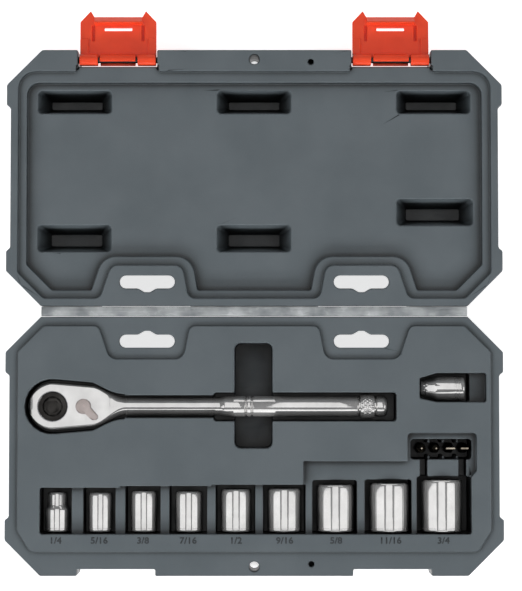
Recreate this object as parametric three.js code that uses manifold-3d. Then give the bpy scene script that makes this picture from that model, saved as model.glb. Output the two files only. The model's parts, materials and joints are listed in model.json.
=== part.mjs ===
// Socket wrench set in a hinged case, lying open. Millimetres, +Z up.
// The case rests on z = 0, the lid opens towards +Y and the two latches point out past the lid.
import * as THREE from 'three';
import { mergeVertices } from 'three/addons/utils/BufferGeometryUtils.js';
import Module from 'manifold-3d';

const wasm = await Module();
wasm.setup();

// ---- driving dimensions ----

const GAP = 0.3;                 // between pieces that touch or slide

// Each half of the case is the same size. Places in a half are (x, v): v runs from the hinge-side edge.
const CASE_WIDTH = 318;
const HALF_LENGTH = 165;
const HALF_DEPTH = 30;
const CORNER_CUT = 22.6;
const BUMPER = 12.8;             // length of the full-width corner bumpers
const WAIST = 2.6;               // how far the sides step in between the bumpers
const WAIST_RAMP = 2.1;
const SHELL_WALL = 1.8;
const SKIN = 1.6;                // wall of the two inner panels
const HINGE_WIDTH = 6.7;         // living hinge, edge to edge
const HINGE_THICKNESS = 0.8;
const PLATEAU_RISE = 1.6;        // base: how far the tray stands above its flange
const LID_BAND_DROP = 2.2;       // lid: first step down from the flange
const LID_PANEL_DROP = 6.2;      // lid: second step down
const TAB = { near: 41.3, far: 99.4, innerNear: 45.4, innerFar: 92.2, reach: 27, thick: 4, round: 6.5 };
const HANG_SLOT = { x: 68.5, v: 15.6, length: 35.2, width: 8.3, bumpFoot: 13, bumpTop: 3.4, bumpWidth: 2.4 };
const PLATEAU = { halfWidth: 150.9, rear: 5.8, front: 149.5 };
const LID_BAND = { halfWidth: 151.5, rear: 5.2, front: 151, tab: -0.6, round: 11 };
const LID_SUNK = { halfWidth: 146.1, rear: 10.3, front: 144, tab: 5, round: 8 };
const LOCK_HOLE = { x: 0, v: 159, radius: 3.2 };
const VENT_HOLE = { x: 36.3, v: 157.3, radius: 1.75 };

// Latches, one each side of the middle.
const LATCH_X = 88;
const LATCH_WIDTH = 49.2;
const BASE_NOTCH = { width: 50, depth: 4.3 };
const LID_NOTCH = { width: 51, depth: 10.6 };
const PIVOT = { v: 159, z: 25, radius: 2 };
const LATCH_REACH = 32.6;        // pivot to free end
const CLIP_RADIUS = 4;
const HOOK = { from: 24, to: 28.6, inward: 1.2, half: 15.4 };
const PLATE = { outer: -6, inner: -3 };

// Sockets lie in a row with their drive ends to the front.
const SOCKET_FRONT = 137.3;
const POCKET_FRONT = 138.3;
const SQUARE_HOLE = 9.6;
const SQUARE_DEPTH = 10.5;
const WEB = 2.5;                 // between the square hole and the hexagon
// pocket: left side, right side and rear end.
const SOCKETS = [
  { name: 'socket_1_4', flats: 6.35, radius: 7.95, length: 25.2, x: -126.3, pocket: [-136.4, -116.5, 108.9] },
  { name: 'socket_5_16', flats: 7.94, radius: 7.65, length: 24.9, x: -98.5, pocket: [-108.9, -88.6, 108.9] },
  { name: 'socket_3_8', flats: 9.53, radius: 8.4, length: 26, x: -70.7, pocket: [-82.1, -59.9, 107.8] },
  { name: 'socket_7_16', flats: 11.11, radius: 8.7, length: 25.7, x: -42, pocket: [-54, -30.2, 107.8] },
  { name: 'socket_1_2', flats: 12.7, radius: 9.9, length: 27.1, x: -11.7, pocket: [-24.5, 0.5, 107] },
  { name: 'socket_9_16', flats: 14.29, radius: 10.95, length: 27.5, x: 19.3, pocket: [5.7, 32.6, 107] },
  { name: 'socket_5_8', flats: 15.88, radius: 12.15, length: 29.9, x: 52, pocket: [37.1, 65.4, 104.2] },
  { name: 'socket_11_16', flats: 17.46, radius: 13, length: 30.9, x: 86.5, pocket: [70.5, 100.2, 103.9] },
  { name: 'socket_3_4', flats: 19.05, radius: 13.35, length: 33, x: 120.2, pocket: [103.7, 138.1, 101.9] },
];
const SMALLEST_HEX_END = { radius: 6.15, step: 14.9 };
const LOWEST_SOCKET_AXIS = 17.5; // height of the largest socket's axis

// Ratchet, in its own frame: gear axis at the origin, handle along +X, mid-plane at z = 0.
const RATCHET = { x: -129, v: 57.3, z: 20.8 };
const HEAD = { radius: 15.3, half: 6.4, cheekX: 25.7, cheek: 13.1, neckX: 46.7, flatEnd: 36 };
const SHANK_RADIUS = 5.65;
const GRIP = { start: 110, radius: 6.6, ringStart: 197.2, ringEnd: 205.8, ringRadius: 7.9, end: 214.5 };
const GEAR = { teeth: 36, tip: 9.5, root: 8.8, half: 2.6, hub: 9.05, journal: 8, bore: 2.2 };
const SQUARE_DRIVE = { size: 9.5, end: -16.6 };
const RING = { inner: 9.35, outer: 10.7, low: 4.65, high: 5.35 };
const LEVER = { x: 19.8, shaft: 3.2, rest: -42.6, tip: 11.8, boss: 4.9 };
const LEVER_BALL = { radius: 1.2, out: 3.9 };
const PAWL = { pivotX: 12.6, rock: 6, halfWidth: 6.6, backRadius: 5.4, clearance: 0.3 };
const PAWL_ROOM = { x: 16.6, half: 9.3 };
const BUTTON = { radius: 6, recess: 6.35, floor: 0.4, under: 4.3, top: 6.6, pin: 1.9, neck: 1.1, travel: 2 };
const DRIVE_BALL = { radius: 1.55, z: -12.2, proud: 0.7 };

// Bit holder and the four bits.
const HOLDER = { x: 106.5, v: 45.6, z: 19.5, length: 28.3, radius: 7.8, small: 5.35, taper: 10.4 };
const BIT = { flats: 6.35, length: 25, v: 84, z: 4.1, hexLength: 12, neck: 2.6 };
const BITS = [
  { name: 'bit_phillips_2', x: 106.8, tip: 'cross', size: 3 },
  { name: 'bit_phillips_1', x: 116.1, tip: 'cross', size: 2.4 },
  { name: 'bit_slotted_6', x: 125.2, tip: 'blade', size: 6 },
  { name: 'bit_slotted_5', x: 134.2, tip: 'blade', size: 5 },
];

// The origin is the middle of the whole outline, so the hinge lies a little towards the front.
const HINGE_HALF = HINGE_WIDTH / 2;
const HINGE_Y = (HALF_LENGTH - PIVOT.v - LATCH_REACH) / 2;
const BASE_SIDE = -1;
const LID_SIDE = 1;

// ---- solids ----

function solidOf(geometry) {
  const bare = geometry.clone();
  bare.deleteAttribute('normal');
  bare.deleteAttribute('uv');
  const merged = mergeVertices(bare, 1e-4);
  const corners = merged.index.array;
  const kept = [];
  for (let i = 0; i < corners.length; i += 3) {
    const [a, b, c] = corners.slice(i, i + 3);
    if (a !== b && b !== c && c !== a) kept.push(a, b, c);
  }
  return new wasm.Manifold(new wasm.Mesh({
    numProp: 3,
    vertProperties: merged.attributes.position.array,
    triVerts: Uint32Array.from(kept),
  }));
}

function geometryOf(solid) {
  const mesh = solid.getMesh();
  const geometry = new THREE.BufferGeometry();
  geometry.setAttribute('position', new THREE.BufferAttribute(mesh.vertProperties, 3));
  geometry.setIndex(new THREE.BufferAttribute(mesh.triVerts, 1));
  geometry.computeVertexNormals();
  return geometry;
}

const join = (...solids) => solids.reduce((whole, next) => whole.add(next));
const cut = (body, ...tools) => tools.reduce((left, tool) => left.subtract(tool), body);

// An outline from corners [x, y, radius]. A corner without a radius is sharp.
function outlineOf(corners) {
  const shape = new THREE.Shape();
  const count = corners.length;
  corners.forEach(([x, y, radius = 0], i) => {
    const [px, py] = corners[(i + count - 1) % count];
    const [nx, ny] = corners[(i + 1) % count];
    const corner = new THREE.Vector2(x, y);
    const back = new THREE.Vector2(px - x, py - y).normalize();
    const on = new THREE.Vector2(nx - x, ny - y).normalize();
    const half = Math.acos(THREE.MathUtils.clamp(back.dot(on), -1, 1)) / 2;
    if (!radius) {
      if (i === 0) shape.moveTo(x, y);
      else shape.lineTo(x, y);
      return;
    }
    const reach = radius / Math.tan(half);
    const start = corner.clone().addScaledVector(back, reach);
    const end = corner.clone().addScaledVector(on, reach);
    const middle = back.clone().add(on).normalize();
    const centre = corner.clone().addScaledVector(middle, radius / Math.sin(half));
    const from = Math.atan2(start.y - centre.y, start.x - centre.x);
    const to = Math.atan2(end.y - centre.y, end.x - centre.x);
    if (i === 0) shape.moveTo(start.x, start.y);
    else shape.lineTo(start.x, start.y);
    shape.absarc(centre.x, centre.y, radius, from, to, back.cross(on) > 0);
  });
  return shape;
}

// A rounded rectangle in a half of the case.
function rectangle(side, left, right, rear, front, radius = 0) {
  return outlineOf([
    [left, side * rear, radius],
    [right, side * rear, radius],
    [right, side * front, radius],
    [left, side * front, radius],
  ]);
}

// An arc in the outline takes twice arcSteps straight edges.
function prism(shape, low, high, arcSteps = 2) {
  const options = { depth: high - low, bevelEnabled: false, curveSegments: arcSteps };
  return solidOf(new THREE.ExtrudeGeometry(shape, options).translate(0, 0, low));
}

// A prism whose bottom edge is rounded off and whose outline is drawn in by inset.
function roundedPan(shape, low, high, inset, edge) {
  const options = {
    depth: high - low,
    bevelEnabled: true,
    bevelThickness: edge,
    bevelSize: edge,
    bevelOffset: -inset - edge,
    bevelSegments: 2,
  };
  const whole = solidOf(new THREE.ExtrudeGeometry(shape, options).translate(0, 0, low + edge));
  return whole.intersect(block(-CASE_WIDTH, CASE_WIDTH, -CASE_WIDTH, CASE_WIDTH, low - 1, high));
}

function block(x0, x1, y0, y1, z0, z1) {
  const box = new THREE.BoxGeometry(x1 - x0, y1 - y0, z1 - z0);
  return solidOf(box.translate((x0 + x1) / 2, (y0 + y1) / 2, (z0 + z1) / 2));
}

// A body of revolution about Y, from pairs [radius, height] that start and end on the axis.
function turnedGeometry(profile, steps) {
  const points = profile.map(([radius, height]) => new THREE.Vector2(radius, height));
  return new THREE.LatheGeometry(points, steps);
}

const turnedY = (profile, steps = 20) => solidOf(turnedGeometry(profile, steps));
const turnedX = (profile, steps = 20) => solidOf(turnedGeometry(profile, steps).rotateZ(-Math.PI / 2));
const turnedZ = (profile, steps = 20) => solidOf(turnedGeometry(profile, steps).rotateX(Math.PI / 2));

const rodProfile = (radius, low, high) => [[0, low], [radius, low], [radius, high], [0, high]];
const rodX = (radius, low, high, steps) => turnedX(rodProfile(radius, low, high), steps);
const rodY = (radius, low, high, steps) => turnedY(rodProfile(radius, low, high), steps);
const rodZ = (radius, low, high, steps) => turnedZ(rodProfile(radius, low, high), steps);
const ball = (radius, steps = 8) => solidOf(new THREE.SphereGeometry(radius, steps, steps / 2));

function polygonShape(flats, sides, turn = 0) {
  const radius = flats / 2 / Math.cos(Math.PI / sides);
  const corners = [];
  for (let i = 0; i < sides; i += 1) {
    const angle = turn + (i * 2 * Math.PI) / sides;
    corners.push([radius * Math.cos(angle), radius * Math.sin(angle)]);
  }
  return outlineOf(corners);
}

const squareShape = (size) => polygonShape(size, 4, Math.PI / 4);
const hexShape = (flats) => polygonShape(flats, 6);

// A wire wound about Z.
function coil(radius, wire, low, high, turns, stepsPerTurn = 8) {
  const points = [];
  const count = turns * stepsPerTurn;
  for (let i = 0; i <= count; i += 1) {
    const angle = (i / stepsPerTurn) * 2 * Math.PI;
    const z = low + wire + ((high - low - 2 * wire) * i) / count;
    points.push(new THREE.Vector3(radius * Math.cos(angle), radius * Math.sin(angle), z));
  }
  const section = new THREE.Shape();
  section.absarc(0, 0, wire, 0, 2 * Math.PI);
  const path = new THREE.CatmullRomCurve3(points);
  const options = { steps: count, extrudePath: path, curveSegments: 3, bevelEnabled: false };
  return solidOf(new THREE.ExtrudeGeometry(section, options));
}

// ---- nodes ----

const group = new THREE.Group();
const baseFrame = new THREE.Group();
const lidFrame = new THREE.Group();
const ratchetFrame = new THREE.Group();
baseFrame.position.set(0, HINGE_Y - HINGE_HALF, 0);
lidFrame.position.set(0, HINGE_Y + HINGE_HALF, 0);
ratchetFrame.position.set(RATCHET.x, -RATCHET.v, RATCHET.z);
baseFrame.add(ratchetFrame);
group.add(baseFrame, lidFrame);

const FINISHES = {
  casePlastic: { color: 0x5d6669, roughness: 0.55, metalness: 0 },
  latchPlastic: { color: 0xde4228, roughness: 0.45, metalness: 0 },
  chrome: { color: 0xdcdcda, roughness: 0.12, metalness: 1 },
  darkSteel: { color: 0x33312f, roughness: 0.4, metalness: 1 },
  springSteel: { color: 0x8d8f91, roughness: 0.3, metalness: 1 },
  magnet: { color: 0x6e6f71, roughness: 0.35, metalness: 1 },
};

function addNode(frame, name, solid, finish, position = [0, 0, 0]) {
  const mesh = new THREE.Mesh(geometryOf(solid), new THREE.MeshStandardMaterial(FINISHES[finish]));
  mesh.name = name;
  mesh.position.set(...position);
  frame.add(mesh);
}

// ---- the two halves of the case ----

// Corners given for the right side are repeated on the left.
function bothSides(corners) {
  const left = corners.map(([x, y, radius]) => [-x, y, radius]).reverse();
  return [...corners, ...left];
}

function halfCorners(side) {
  const half = CASE_WIDTH / 2;
  const bumperEnd = CORNER_CUT + BUMPER;
  const right = [
    [half - CORNER_CUT, 0],
    [half, CORNER_CUT],
    [half, bumperEnd],
    [half - WAIST, bumperEnd + WAIST_RAMP],
    [half - WAIST, HALF_LENGTH - bumperEnd - WAIST_RAMP],
    [half, HALF_LENGTH - bumperEnd],
    [half, HALF_LENGTH - CORNER_CUT],
    [half - CORNER_CUT, HALF_LENGTH],
  ];
  return bothSides(right.map(([x, v]) => [x, side * v]));
}

// The dip that an outline makes round a hanging tab, widened by grow, from the middle of the case out.
function tabDip(rear, grow = 0, round = 0) {
  const mouth = round && Math.max(1.5, 4.5 - grow);
  const end = round && round + grow;
  return [
    [TAB.near - grow, rear, mouth],
    [TAB.innerNear - grow, TAB.reach + grow, end],
    [TAB.innerFar + grow, TAB.reach + grow, end],
    [TAB.far + grow, rear, mouth],
  ];
}

// A raised or sunk area inside the flange, following the rear corner cuts and the tabs.
function panelOutline(side, halfWidth, rear, front, grow, frontCorner) {
  const corner = CORNER_CUT - 6;
  const right = [
    ...tabDip(rear, grow, TAB.round),
    [halfWidth - corner, rear, 3],
    [halfWidth, rear + corner, 3],
    ...frontCorner,
  ];
  return outlineOf(bothSides(right.map(([x, v, r]) => [x, side * v, r])));
}

// The outer pan's outline stops short of the tabs, which are flange only.
function panOutline(side) {
  const flat = halfCorners(side).slice(0, 8);
  const right = [...tabDip(0).map(([x, v]) => [x, side * v]), ...flat];
  return outlineOf(bothSides(right));
}

function tabShape(side, sign) {
  const dip = tabDip(0, -GAP).map(([x, v]) => [sign * x, side * v]);
  return outlineOf(dip);
}

function hangSlot(side, sign) {
  const slot = HANG_SLOT;
  const x = sign * slot.x;
  const half = slot.length / 2;
  const radius = slot.width / 2 - 0.05;
  const [rear, front] = [slot.v - slot.width / 2, slot.v + slot.width / 2];
  const low = HALF_DEPTH - TAB.thick - 1;
  const main = prism(rectangle(side, x - half, x + half, rear, front, radius), low, HALF_DEPTH + 1, 3);
  const bump = outlineOf([
    [x - slot.bumpFoot / 2, side * (rear + 0.4)],
    [x - slot.bumpTop / 2, side * (rear - slot.bumpWidth), 1.5],
    [x + slot.bumpTop / 2, side * (rear - slot.bumpWidth), 1.5],
    [x + slot.bumpFoot / 2, side * (rear + 0.4)],
  ]);
  return join(main, prism(bump, low, HALF_DEPTH + 1));
}

function notchBlock(side, sign, notch) {
  const x = sign * LATCH_X;
  const front = [side * (HALF_LENGTH - notch.depth), side * (HALF_LENGTH + 1)].sort((a, b) => a - b);
  return block(x - notch.width / 2, x + notch.width / 2, ...front, -1, HALF_DEPTH + 3);
}

const holeAt = (side, hole, low, high, grow = 0) =>
  rodZ(hole.radius + grow, low, high, 16).translate([hole.x, side * hole.v, 0]);

// Flange plate with thicker tabs, before the panel and the pockets are formed in it.
function flangePlate(side, notch) {
  const low = HALF_DEPTH - SKIN;
  let plate = prism(outlineOf(halfCorners(side)), low, HALF_DEPTH);
  for (const sign of [-1, 1]) {
    plate = join(plate, prism(tabShape(side, sign), HALF_DEPTH - TAB.thick, HALF_DEPTH));
  }
  return cut(
    plate,
    ...[-1, 1].map((sign) => notchBlock(side, sign, notch)),
  );
}

function flangeHoles(side) {
  return [
    ...[-1, 1].map((sign) => hangSlot(side, sign)),
    holeAt(side, LOCK_HOLE, 0, HALF_DEPTH + 1),
    holeAt(side, VENT_HOLE, HALF_DEPTH - 3, HALF_DEPTH + 1),
  ];
}

// The outer wall of a half: a thin pan, closed round the notches and round the lock hole.
function outerPan(side, notch) {
  const top = HALF_DEPTH - SKIN - GAP;
  const edge = 4;
  const shape = panOutline(side);
  const hollow = roundedPan(shape, SHELL_WALL, top + 1, SHELL_WALL, edge - 1);
  let pan = roundedPan(shape, 0, top, 0, edge);
  let inside = hollow;
  for (const sign of [-1, 1]) {
    const x = sign * LATCH_X;
    const half = notch.width / 2 + SHELL_WALL;
    const rear = HALF_LENGTH - notch.depth - SHELL_WALL;
    const span = [side * rear, side * (HALF_LENGTH + 1)].sort((a, b) => a - b);
    inside = cut(inside, block(x - half, x + half, ...span, 0, HALF_DEPTH));
  }
  inside = cut(inside, holeAt(side, LOCK_HOLE, 0, HALF_DEPTH, SHELL_WALL));
  pan = cut(pan, inside, holeAt(side, LOCK_HOLE, -1, HALF_DEPTH));
  return cut(pan, ...[-1, 1].map((sign) => notchBlock(side, sign, notch)));
}

// A pocket is cut out of the panel, and its skin hangs below the panel.
function formPockets(panel, pockets) {
  const skins = pockets.map((pocket) => pocket.skin);
  const hollows = pockets.map((pocket) => pocket.hollow);
  return cut(join(panel, ...skins), ...hollows);
}

const SURFACE = HALF_DEPTH + PLATEAU_RISE;

// shapeFor(grow) gives the pocket's outline, widened by grow for its skin.
function pocket(shapeFor, floor, top = SURFACE, arcSteps = 2) {
  return {
    skin: prism(shapeFor(SKIN), floor - SKIN, top, Math.ceil(arcSteps / 2)),
    hollow: prism(shapeFor(0), floor, top + 5, arcSteps),
  };
}

const boxPocket = (left, right, rear, front, floor, radius = 2, top = SURFACE) =>
  pocket(
    (grow) => rectangle(BASE_SIDE, left - grow, right + grow, rear - grow, front + grow, radius + grow),
    floor,
    top,
  );

// ---- base ----

const socketAxis = (socket) => {
  const largest = SOCKETS[SOCKETS.length - 1].radius;
  return LOWEST_SOCKET_AXIS + (largest - socket.radius) / 2;
};

// A lowered area runs round the bits and on along the sockets' pockets. Its rear and front walls are
// also the pockets' walls, up to the first socket that lies inside it.
const LOWERED = HALF_DEPTH - 2.4;
const FIRST_INSIDE = 6;
const CORNER = 1.5;              // corner radius of the pockets
const BITS_AREA = { turn: 31.4, step: 97.8, right: 141.5, rear: 74.1, middle: 92, front: 98, end: 102 };

function loweredArea() {
  const [first] = SOCKETS;
  const last = SOCKETS[SOCKETS.length - 1];
  const steps = [];
  for (let i = 0; i < FIRST_INSIDE - 1; i += 1) {
    const [here, next] = [SOCKETS[i].pocket, SOCKETS[i + 1].pocket];
    const x = (here[1] + next[0]) / 2;
    if (here[2] !== next[2]) steps.push([x, here[2]], [x, next[2]]);
  }
  const [left, , rear] = first.pocket;
  const area = BITS_AREA;
  const outline = (grow) => outlineOf([
    [left - grow, rear - grow, CORNER + grow],
    ...steps.map(([x, v]) => [x - grow, v - grow]),
    [area.turn - grow, SOCKETS[FIRST_INSIDE - 1].pocket[2] - grow],
    [area.turn - grow, area.middle - grow, 1 + grow],
    [area.step - grow, area.middle - grow, 1],
    [area.step - grow, area.rear - grow, 2.5 + grow],
    [area.right + grow, area.rear - grow, 2.5 + grow],
    [area.right + grow, area.front + grow, 1 + grow],
    [last.pocket[1] + grow, area.end + grow, 1],
    [last.pocket[1] + grow, POCKET_FRONT + grow, CORNER + grow],
    [left - grow, POCKET_FRONT + grow, CORNER + grow],
  ].map(([x, v, radius]) => [x, -v, radius]));
  return pocket(outline, LOWERED);
}

function socketPockets() {
  return SOCKETS.map((socket, i) => {
    const [left, right, rear] = socket.pocket;
    const leftEnd = i === 0 ? CORNER : 0;
    const rightEnd = i === SOCKETS.length - 1 ? CORNER : 0;
    const inside = i < FIRST_INSIDE ? 0 : CORNER;
    const outline = (grow) => outlineOf([
      [left - grow, -(rear - grow), leftEnd || inside],
      [right + grow, -(rear - grow), inside],
      [right + grow, -(POCKET_FRONT + grow), rightEnd],
      [left - grow, -(POCKET_FRONT + grow), leftEnd],
    ]);
    return pocket(outline, socketAxis(socket) - socket.radius - GAP);
  });
}

// The ratchet's plan outline, widened by grow.
function headOutline(grow) {
  const radius = HEAD.radius + grow;
  const turn = THREE.MathUtils.degToRad(82);
  const cheek = HEAD.cheek + grow;
  const neck = SHANK_RADIUS + grow;
  const shape = new THREE.Shape();
  shape.moveTo(HEAD.neckX, -neck);
  shape.bezierCurveTo(HEAD.neckX - 9, -neck, HEAD.cheekX + 5, -cheek + 1.6, HEAD.cheekX, -cheek);
  shape.lineTo(radius * Math.cos(turn), -radius * Math.sin(turn));
  shape.absarc(0, 0, radius, -turn, turn, true);
  shape.lineTo(HEAD.cheekX, cheek);
  shape.bezierCurveTo(HEAD.cheekX + 5, cheek - 1.6, HEAD.neckX - 9, neck, HEAD.neckX, neck);
  return shape;
}

function ratchetPockets() {
  const { x, v, z } = RATCHET;
  const headFloor = z - HEAD.half - GAP;
  const gripFloor = z - GRIP.ringRadius - GAP;
  const margin = 2.2;
  const place = (solid) => solid.translate([x, -v, 0]);
  const head = pocket((grow) => headOutline(margin + grow), headFloor, SURFACE, 6);
  head.skin = place(head.skin);
  head.hollow = place(head.hollow);
  const shankHalf = SHANK_RADIUS + 1.5;
  const gripLeft = -26;
  const wellHalf = 8.5;
  const fingerFloor = 5.5;
  const shank = boxPocket(x + HEAD.neckX - 2, gripLeft + 6, v - shankHalf, v + shankHalf, headFloor, 1);
  const grip = boxPocket(gripLeft, 90.6, v - 8.9, v + 9.3, gripFloor, 2);
  const well = boxPocket(
    x - wellHalf, x + wellHalf, v - wellHalf, v + wellHalf, z + SQUARE_DRIVE.end - GAP, 3);
  const fingers = boxPocket(-12.6, 11.6, 16.8, 83.9, fingerFloor, 4);
  return [head, shank, grip, well, fingers];
}

function holderPockets() {
  const floor = HOLDER.z - HOLDER.radius - GAP;
  const [rear, front] = [36, 54.4];
  const [left, widens, right] = [105.5, 116.4, 137.6];
  const narrow = 6.4;              // half width at the left end
  const shelfFloor = 25;
  const outline = (grow) => outlineOf([
    [left - grow, -(HOLDER.v - narrow - grow), 1 + grow],
    [widens - grow, -(rear - grow), 1 + grow],
    [right + grow, -(rear - grow), CORNER + grow],
    [right + grow, -(front + grow), CORNER + grow],
    [widens - grow, -(front + grow), 1 + grow],
    [left - grow, -(HOLDER.v + narrow + grow), 1 + grow],
  ]);
  const shelf = boxPocket(right - 3, 147.8, rear, front, shelfFloor, CORNER);
  return [pocket(outline, floor), shelf];
}

// The bits stand in one pocket with short walls between them.
function bitPockets() {
  const floor = BIT.z - GAP;
  const wallTop = HALF_DEPTH - 5;
  const channelFloor = 16;
  const bits = boxPocket(99.7, 138.6, 78.1, 90.9, floor, 2, LOWERED);
  for (let i = 0; i < BITS.length - 1; i += 1) {
    const x = (BITS[i].x + BITS[i + 1].x) / 2;
    for (const [rear, front] of [[77.5, 80.4], [88.6, 91.5]]) {
      bits.hollow = cut(bits.hollow, block(x - 0.9, x + 0.9, -front, -rear, 0, wallTop));
    }
  }
  const channels = [[105.8, 110.3], [130.5, 135.2]].map(([left, right]) =>
    boxPocket(left, right, 89, 103.5, channelFloor, 0.8, LOWERED));
  return [bits, ...channels];
}

function baseTray() {
  const plateau = (inset) => {
    const { halfWidth, rear, front } = PLATEAU;
    const frontCorner = [
      [halfWidth - inset, front - 13.5, 6],
      [halfWidth - 8.5, front - inset, 6],
    ];
    return panelOutline(BASE_SIDE, halfWidth - inset, rear + inset, front - inset, inset, frontCorner);
  };
  let panel = join(
    flangePlate(BASE_SIDE, BASE_NOTCH),
    prism(plateau(0), HALF_DEPTH - SKIN, SURFACE, 3),
  );
  panel = cut(panel, prism(plateau(SKIN), HALF_DEPTH - SKIN - 1, HALF_DEPTH, 3));
  const pockets = [
    loweredArea(),
    ...socketPockets(),
    ...ratchetPockets(),
    ...holderPockets(),
    ...bitPockets(),
  ];
  return cut(formPockets(panel, pockets), ...flangeHoles(BASE_SIDE));
}

// The latch hooks into a recess low in the base's front wall.
function catchRecess(sign, grow) {
  const x = sign * LATCH_X;
  const half = HOOK.half + 1 + grow;
  const rear = PIVOT.v - HOOK.inward - 1.2 - grow;
  const closedHook = 2 * HALF_DEPTH + GAP - PIVOT.z - HOOK.from;
  const low = closedHook - (HOOK.to - HOOK.from) - 2 * GAP;
  const y = [-(HALF_LENGTH - BASE_NOTCH.depth + (grow ? 0 : 1)), -rear];
  return block(x - half, x + half, ...y, low - grow, closedHook + GAP + grow);
}

function baseShell() {
  let shell = outerPan(BASE_SIDE, BASE_NOTCH);
  shell = join(shell, ...[-1, 1].map((sign) => catchRecess(sign, SHELL_WALL)));
  return cut(shell, ...[-1, 1].map((sign) => catchRecess(sign, 0)));
}

addNode(baseFrame, 'base_shell', baseShell(), 'casePlastic');
addNode(baseFrame, 'base_tray', baseTray(), 'casePlastic');

const hingeReach = CASE_WIDTH / 2 - CORNER_CUT - GAP;
const hingeHalf = HINGE_HALF - GAP;
addNode(group, 'living_hinge', block(
  -hingeReach, hingeReach, -hingeHalf, hingeHalf, HALF_DEPTH - HINGE_THICKNESS, HALF_DEPTH,
), 'casePlastic', [0, HINGE_Y, 0]);

// ---- lid ----

// A deep boss sunk towards the lid's outer wall, narrowing to its floor.
function sunkBoss(left, right, rear, front) {
  const floor = SHELL_WALL + GAP + SKIN;
  const top = HALF_DEPTH - LID_PANEL_DROP;
  const centre = [(left + right) / 2, (rear + front) / 2];
  const half = [(right - left) / 2, (front - rear) / 2];
  const draft = [7.2, 4.4];
  const tapered = (grow, low, high) => {
    const [x, y] = half.map((size) => size + grow);
    const shape = rectangle(LID_SIDE, -x, x, -y, y, 2.5);
    const options = { depth: high - low, bevelEnabled: false, curveSegments: 2 };
    const geometry = new THREE.ExtrudeGeometry(shape, options).translate(0, 0, low);
    const place = geometry.attributes.position;
    for (let i = 0; i < place.count; i += 1) {
      const drop = (top - place.getZ(i)) / (top - floor);
      place.setX(i, place.getX(i) * (1 - (drop * draft[0]) / half[0]) + centre[0]);
      place.setY(i, place.getY(i) * (1 - (drop * draft[1]) / half[1]) + centre[1]);
    }
    return solidOf(geometry);
  };
  return { skin: tapered(SKIN, floor - SKIN, top), hollow: tapered(0, floor, top + 1) };
}

function sunkBosses() {
  const frontRow = [-115.8, -0.2, 115.5].map((x) => sunkBoss(x - 23.9, x + 23.9, 124.6, 139.4));
  const rearRow = [-115.8, -0.2].map((x) => sunkBoss(x - 23.9, x + 23.9, 35.2, 52.5));
  return [...frontRow, ...rearRow, sunkBoss(91.5, 140.9, 52.2, 69.3)];
}

// The lid's inner face steps down twice from its flange: a narrow band, then the sunk panel.
const BAND_TOP = HALF_DEPTH - LID_BAND_DROP;
const SUNK_TOP = HALF_DEPTH - LID_PANEL_DROP;
const lidOutline = ({ halfWidth, rear, front, tab, round }, grow) => {
  const frontCorner = [[halfWidth + grow, front + grow, round + grow]];
  return panelOutline(LID_SIDE, halfWidth + grow, rear - grow, front + grow, tab - grow, frontCorner);
};
const bandOutline = (grow) => lidOutline(LID_BAND, grow);
const sunkOutline = (grow) => lidOutline(LID_SUNK, grow);

// The band runs on to the front edge beside each latch.
function bandEnd(sign, grow) {
  const x = sign * LATCH_X;
  const half = LID_NOTCH.width / 2 + grow;
  return rectangle(LID_SIDE, x - half, x + half, LID_BAND.front - 2, HALF_LENGTH - LID_NOTCH.depth + grow);
}

function lidPanel() {
  const top = HALF_DEPTH + 1;
  const steps = [
    {
      skin: prism(bandOutline(SKIN), BAND_TOP - SKIN, HALF_DEPTH - SKIN / 2, 3),
      hollow: prism(bandOutline(0), BAND_TOP, top, 3),
    },
    {
      skin: prism(sunkOutline(SKIN), SUNK_TOP - SKIN, BAND_TOP, 3),
      hollow: prism(sunkOutline(0), SUNK_TOP, top, 3),
    },
    ...[-1, 1].map((sign) => ({
      skin: prism(bandEnd(sign, 0), BAND_TOP - SKIN, HALF_DEPTH - SKIN / 2),
      hollow: prism(bandEnd(sign, 1), BAND_TOP, top),
    })),
  ];
  const formed = formPockets(flangePlate(LID_SIDE, LID_NOTCH), [...steps, ...sunkBosses()]);
  return cut(formed, ...flangeHoles(LID_SIDE));
}

// The bar that each latch snaps on to runs across its notch, from wall to wall.
function lidShell() {
  const half = LID_NOTCH.width / 2 + SHELL_WALL / 2;
  const bars = [-1, 1].map((sign) =>
    rodX(PIVOT.radius, -half, half, 12).translate([sign * LATCH_X, PIVOT.v, PIVOT.z]));
  const clearance = SKIN + GAP;
  const pan = cut(
    outerPan(LID_SIDE, LID_NOTCH),
    prism(bandOutline(clearance), BAND_TOP - clearance, HALF_DEPTH, 3),
    prism(sunkOutline(clearance), SUNK_TOP - clearance, HALF_DEPTH, 3),
    ...[-1, 1].map((sign) => prism(bandEnd(sign, GAP), BAND_TOP - clearance, HALF_DEPTH)),
  );
  return join(pan, ...bars);
}

addNode(lidFrame, 'lid_shell', lidShell(), 'casePlastic');
addNode(lidFrame, 'lid_panel', lidPanel(), 'casePlastic');

// ---- latches: pivot at the origin, pointing along +Y, inner face up ----

function latchPlate() {
  const half = LATCH_WIDTH / 2;
  const ear = { x: 17.8, foot: 15.5, start: 25.4 };
  const right = [
    [half, 2.5],
    [half, ear.start],
    [ear.x, LATCH_REACH],
    [ear.foot, HOOK.to],
  ];
  return prism(outlineOf(bothSides(right)), PLATE.outer, PLATE.inner);
}

// A clip that wraps the bar, with its mouth towards the case.
function clip(from, to) {
  const gape = 1.5;
  return cut(
    rodX(CLIP_RADIUS, from, to, 16),
    rodX(PIVOT.radius + GAP, from - 1, to + 1, 16),
    block(from - 1, to + 1, -CLIP_RADIUS - 1, 0, -gape, gape),
  );
}

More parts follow.
